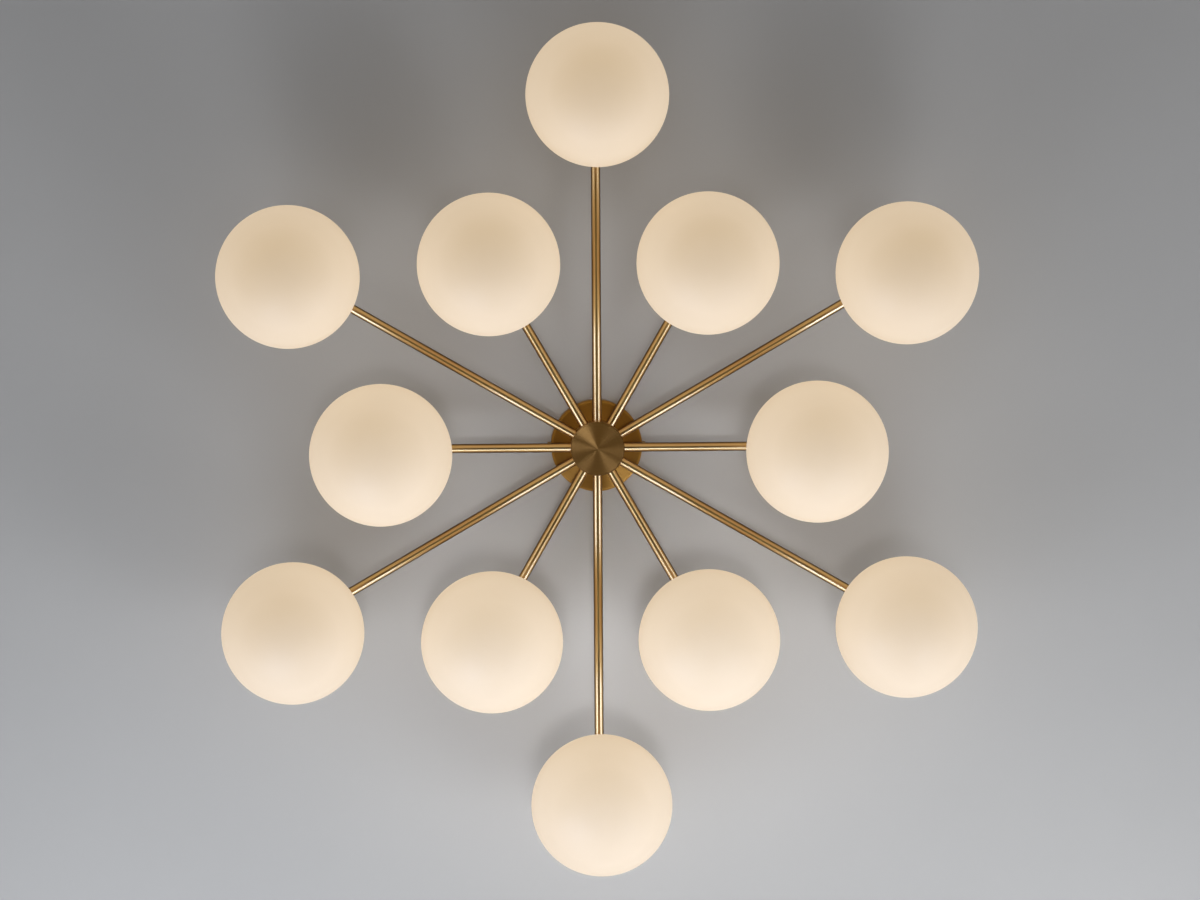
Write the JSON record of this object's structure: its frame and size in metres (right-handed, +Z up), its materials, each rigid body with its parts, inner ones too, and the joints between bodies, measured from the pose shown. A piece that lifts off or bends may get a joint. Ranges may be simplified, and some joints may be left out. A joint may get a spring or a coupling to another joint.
{
  "type": "ceiling chandelier",
  "caption": "Flush ceiling chandelier: a round canopy and hub carry straight tube arms, long and short in turn, each with an opal glass globe hung below its end.",
  "frame": {"origin": "centre of the ceiling bracket's upper face, on the hub's axis, in the ceiling plane", "axes": "+Z up into the ceiling along the hub's axis; the first short arm points along +X and a long arm along +Y"},
  "size_m": [0.7994, 0.9, 0.2117],
  "materials": {
    "brushed_brass": "brushed satin",
    "turned_brass": "face-turned, concentric grain",
    "brass_tube": "satin, brushed along the tube",
    "opal_glass": "satin opal, lit",
    "clear_silicone": "matt",
    "frosted_lamp": "frosted, lit",
    "white_ceramic": "glazed",
    "white_nylon": "moulded",
    "wire_sheath": "smooth",
    "zinc_plated_steel": "zinc plated"
  },
  "bodies": {
    "fixture": {"ceiling_bracket": "zinc_plated_steel", "canopy": "brushed_brass", "canopy_side_screws": "brushed_brass", "hub_body": "brushed_brass", "hub_cover": "turned_brass", "threaded_nipples": "zinc_plated_steel", "lock_nuts": "zinc_plated_steel", "fitter_cups": "brushed_brass", "cap_nuts": "brushed_brass", "lampholders": "white_ceramic", "terminal_blocks": "white_nylon", "wiring": "wire_sheath", "arm_01": "brass_tube", "arm_02": "brass_tube", "arm_03": "brass_tube", "arm_04": "brass_tube", "arm_05": "brass_tube", "arm_06": "brass_tube", "arm_07": "brass_tube", "arm_08": "brass_tube", "arm_09": "brass_tube", "arm_10": "brass_tube", "arm_11": "brass_tube", "arm_12": "brass_tube"},
    "gasket_01": {"gasket_01": "clear_silicone"},
    "globe_01": {"globe_01": "opal_glass"},
    "bulb_01": {"bulb_01": "frosted_lamp"},
    "gasket_02": {"gasket_02": "clear_silicone"},
    "globe_02": {"globe_02": "opal_glass"},
    "bulb_02": {"bulb_02": "frosted_lamp"},
    "gasket_03": {"gasket_03": "clear_silicone"},
    "globe_03": {"globe_03": "opal_glass"},
    "bulb_03": {"bulb_03": "frosted_lamp"},
    "gasket_04": {"gasket_04": "clear_silicone"},
    "globe_04": {"globe_04": "opal_glass"},
    "bulb_04": {"bulb_04": "frosted_lamp"},
    "gasket_05": {"gasket_05": "clear_silicone"},
    "globe_05": {"globe_05": "opal_glass"},
    "bulb_05": {"bulb_05": "frosted_lamp"},
    "gasket_06": {"gasket_06": "clear_silicone"},
    "globe_06": {"globe_06": "opal_glass"},
    "bulb_06": {"bulb_06": "frosted_lamp"},
    "gasket_07": {"gasket_07": "clear_silicone"},
    "globe_07": {"globe_07": "opal_glass"},
    "bulb_07": {"bulb_07": "frosted_lamp"},
    "gasket_08": {"gasket_08": "clear_silicone"},
    "globe_08": {"globe_08": "opal_glass"},
    "bulb_08": {"bulb_08": "frosted_lamp"},
    "gasket_09": {"gasket_09": "clear_silicone"},
    "globe_09": {"globe_09": "opal_glass"},
    "bulb_09": {"bulb_09": "frosted_lamp"},
    "gasket_10": {"gasket_10": "clear_silicone"},
    "globe_10": {"globe_10": "opal_glass"},
    "bulb_10": {"bulb_10": "frosted_lamp"},
    "gasket_11": {"gasket_11": "clear_silicone"},
    "globe_11": {"globe_11": "opal_glass"},
    "bulb_11": {"bulb_11": "frosted_lamp"},
    "gasket_12": {"gasket_12": "clear_silicone"},
    "globe_12": {"globe_12": "opal_glass"},
    "bulb_12": {"bulb_12": "frosted_lamp"}
  },
  "joints": [
    {"name": "globe_01_lower", "type": "slide", "parent": "fixture", "child": "gasket_01", "axis": [0, 0, -1], "range_m": [0, 0.008]},
    {"name": "globe_01_unscrew", "type": "hinge", "parent": "gasket_01", "child": "globe_01", "pos_m": [0.23, 0, -0.13665], "axis": [0, 0, -1], "range_deg": [0, 720]},
    {"name": "bulb_01_pull", "type": "slide", "parent": "fixture", "child": "bulb_01", "axis": [0, 0, -1], "range_m": [0, 0.01]},
    {"name": "globe_02_lower", "type": "slide", "parent": "fixture", "child": "gasket_02", "axis": [0, 0, -1], "range_m": [0, 0.008]},
    {"name": "globe_02_unscrew", "type": "hinge", "parent": "gasket_02", "child": "globe_02", "pos_m": [0.32476, 0.1875, -0.13665], "axis": [0, 0, -1], "range_deg": [0, 720]},
    {"name": "bulb_02_pull", "type": "slide", "parent": "fixture", "child": "bulb_02", "axis": [0, 0, -1], "range_m": [0, 0.01]},
    {"name": "globe_03_lower", "type": "slide", "parent": "fixture", "child": "gasket_03", "axis": [0, 0, -1], "range_m": [0, 0.008]},
    {"name": "globe_03_unscrew", "type": "hinge", "parent": "gasket_03", "child": "globe_03", "pos_m": [0.115, 0.19919, -0.13665], "axis": [0, 0, -1], "range_deg": [0, 720]},
    {"name": "bulb_03_pull", "type": "slide", "parent": "fixture", "child": "bulb_03", "axis": [0, 0, -1], "range_m": [0, 0.01]},
    {"name": "globe_04_lower", "type": "slide", "parent": "fixture", "child": "gasket_04", "axis": [0, 0, -1], "range_m": [0, 0.008]},
    {"name": "globe_04_unscrew", "type": "hinge", "parent": "gasket_04", "child": "globe_04", "pos_m": [0, 0.375, -0.13665], "axis": [0, 0, -1], "range_deg": [0, 720]},
    {"name": "bulb_04_pull", "type": "slide", "parent": "fixture", "child": "bulb_04", "axis": [0, 0, -1], "range_m": [0, 0.01]},
    {"name": "globe_05_lower", "type": "slide", "parent": "fixture", "child": "gasket_05", "axis": [0, 0, -1], "range_m": [0, 0.008]},
    {"name": "globe_05_unscrew", "type": "hinge", "parent": "gasket_05", "child": "globe_05", "pos_m": [-0.115, 0.19919, -0.13665], "axis": [0, 0, -1], "range_deg": [0, 720]},
    {"name": "bulb_05_pull", "type": "slide", "parent": "fixture", "child": "bulb_05", "axis": [0, 0, -1], "range_m": [0, 0.01]},
    {"name": "globe_06_lower", "type": "slide", "parent": "fixture", "child": "gasket_06", "axis": [0, 0, -1], "range_m": [0, 0.008]},
    {"name": "globe_06_unscrew", "type": "hinge", "parent": "gasket_06", "child": "globe_06", "pos_m": [-0.32476, 0.1875, -0.13665], "axis": [0, 0, -1], "range_deg": [0, 720]},
    {"name": "bulb_06_pull", "type": "slide", "parent": "fixture", "child": "bulb_06", "axis": [0, 0, -1], "range_m": [0, 0.01]},
    {"name": "globe_07_lower", "type": "slide", "parent": "fixture", "child": "gasket_07", "axis": [0, 0, -1], "range_m": [0, 0.008]},
    {"name": "globe_07_unscrew", "type": "hinge", "parent": "gasket_07", "child": "globe_07", "pos_m": [-0.23, 0, -0.13665], "axis": [0, 0, -1], "range_deg": [0, 720]},
    {"name": "bulb_07_pull", "type": "slide", "parent": "fixture", "child": "bulb_07", "axis": [0, 0, -1], "range_m": [0, 0.01]},
    {"name": "globe_08_lower", "type": "slide", "parent": "fixture", "child": "gasket_08", "axis": [0, 0, -1], "range_m": [0, 0.008]},
    {"name": "globe_08_unscrew", "type": "hinge", "parent": "gasket_08", "child": "globe_08", "pos_m": [-0.32476, -0.1875, -0.13665], "axis": [0, 0, -1], "range_deg": [0, 720]},
    {"name": "bulb_08_pull", "type": "slide", "parent": "fixture", "child": "bulb_08", "axis": [0, 0, -1], "range_m": [0, 0.01]},
    {"name": "globe_09_lower", "type": "slide", "parent": "fixture", "child": "gasket_09", "axis": [0, 0, -1], "range_m": [0, 0.008]},
    {"name": "globe_09_unscrew", "type": "hinge", "parent": "gasket_09", "child": "globe_09", "pos_m": [-0.115, -0.19919, -0.13665], "axis": [0, 0, -1], "range_deg": [0, 720]},
    {"name": "bulb_09_pull", "type": "slide", "parent": "fixture", "child": "bulb_09", "axis": [0, 0, -1], "range_m": [0, 0.01]},
    {"name": "globe_10_lower", "type": "slide", "parent": "fixture", "child": "gasket_10", "axis": [0, 0, -1], "range_m": [0, 0.008]},
    {"name": "globe_10_unscrew", "type": "hinge", "parent": "gasket_10", "child": "globe_10", "pos_m": [0, -0.375, -0.13665], "axis": [0, 0, -1], "range_deg": [0, 720]},
    {"name": "bulb_10_pull", "type": "slide", "parent": "fixture", "child": "bulb_10", "axis": [0, 0, -1], "range_m": [0, 0.01]},
    {"name": "globe_11_lower", "type": "slide", "parent": "fixture", "child": "gasket_11", "axis": [0, 0, -1], "range_m": [0, 0.008]},
    {"name": "globe_11_unscrew", "type": "hinge", "parent": "gasket_11", "child": "globe_11", "pos_m": [0.115, -0.19919, -0.13665], "axis": [0, 0, -1], "range_deg": [0, 720]},
    {"name": "bulb_11_pull", "type": "slide", "parent": "fixture", "child": "bulb_11", "axis": [0, 0, -1], "range_m": [0, 0.01]},
    {"name": "globe_12_lower", "type": "slide", "parent": "fixture", "child": "gasket_12", "axis": [0, 0, -1], "range_m": [0, 0.008]},
    {"name": "globe_12_unscrew", "type": "hinge", "parent": "gasket_12", "child": "globe_12", "pos_m": [0.32476, -0.1875, -0.13665], "axis": [0, 0, -1], "range_deg": [0, 720]},
    {"name": "bulb_12_pull", "type": "slide", "parent": "fixture", "child": "bulb_12", "axis": [0, 0, -1], "range_m": [0, 0.01]}
  ],
  "couplings": [
    {"joint": "globe_01_lower", "follows": "globe_01_unscrew", "m_per_rad": 0.00063662},
    {"joint": "globe_02_lower", "follows": "globe_02_unscrew", "m_per_rad": 0.00063662},
    {"joint": "globe_03_lower", "follows": "globe_03_unscrew", "m_per_rad": 0.00063662},
    {"joint": "globe_04_lower", "follows": "globe_04_unscrew", "m_per_rad": 0.00063662},
    {"joint": "globe_05_lower", "follows": "globe_05_unscrew", "m_per_rad": 0.00063662},
    {"joint": "globe_06_lower", "follows": "globe_06_unscrew", "m_per_rad": 0.00063662},
    {"joint": "globe_07_lower", "follows": "globe_07_unscrew", "m_per_rad": 0.00063662},
    {"joint": "globe_08_lower", "follows": "globe_08_unscrew", "m_per_rad": 0.00063662},
    {"joint": "globe_09_lower", "follows": "globe_09_unscrew", "m_per_rad": 0.00063662},
    {"joint": "globe_10_lower", "follows": "globe_10_unscrew", "m_per_rad": 0.00063662},
    {"joint": "globe_11_lower", "follows": "globe_11_unscrew", "m_per_rad": 0.00063662},
    {"joint": "globe_12_lower", "follows": "globe_12_unscrew", "m_per_rad": 0.00063662}
  ]
}
